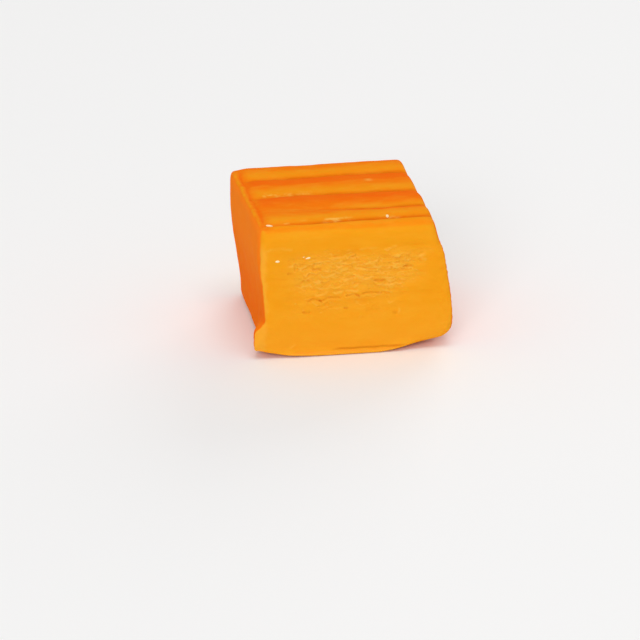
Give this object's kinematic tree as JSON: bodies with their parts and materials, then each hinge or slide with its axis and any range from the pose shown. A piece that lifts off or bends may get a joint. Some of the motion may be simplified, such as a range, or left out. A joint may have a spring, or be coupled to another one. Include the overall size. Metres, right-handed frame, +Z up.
{
  "type": "fruit chew",
  "caption": "Soft orange fruit sweet: a rounded block with roller ridges along its top, a torn and pleated front, and a thin lip squeezed out at its base.",
  "frame": {"origin": "centre of the bounding box at the base", "axes": "+X along the ridges, -Y towards the torn front, +Z up"},
  "size_m": [0.022, 0.0212, 0.0151],
  "materials": {
    "chew": "satin, slightly translucent pulled sugar"
  },
  "bodies": {
    "root": {"chew": "chew"}
  },
  "joints": []
}
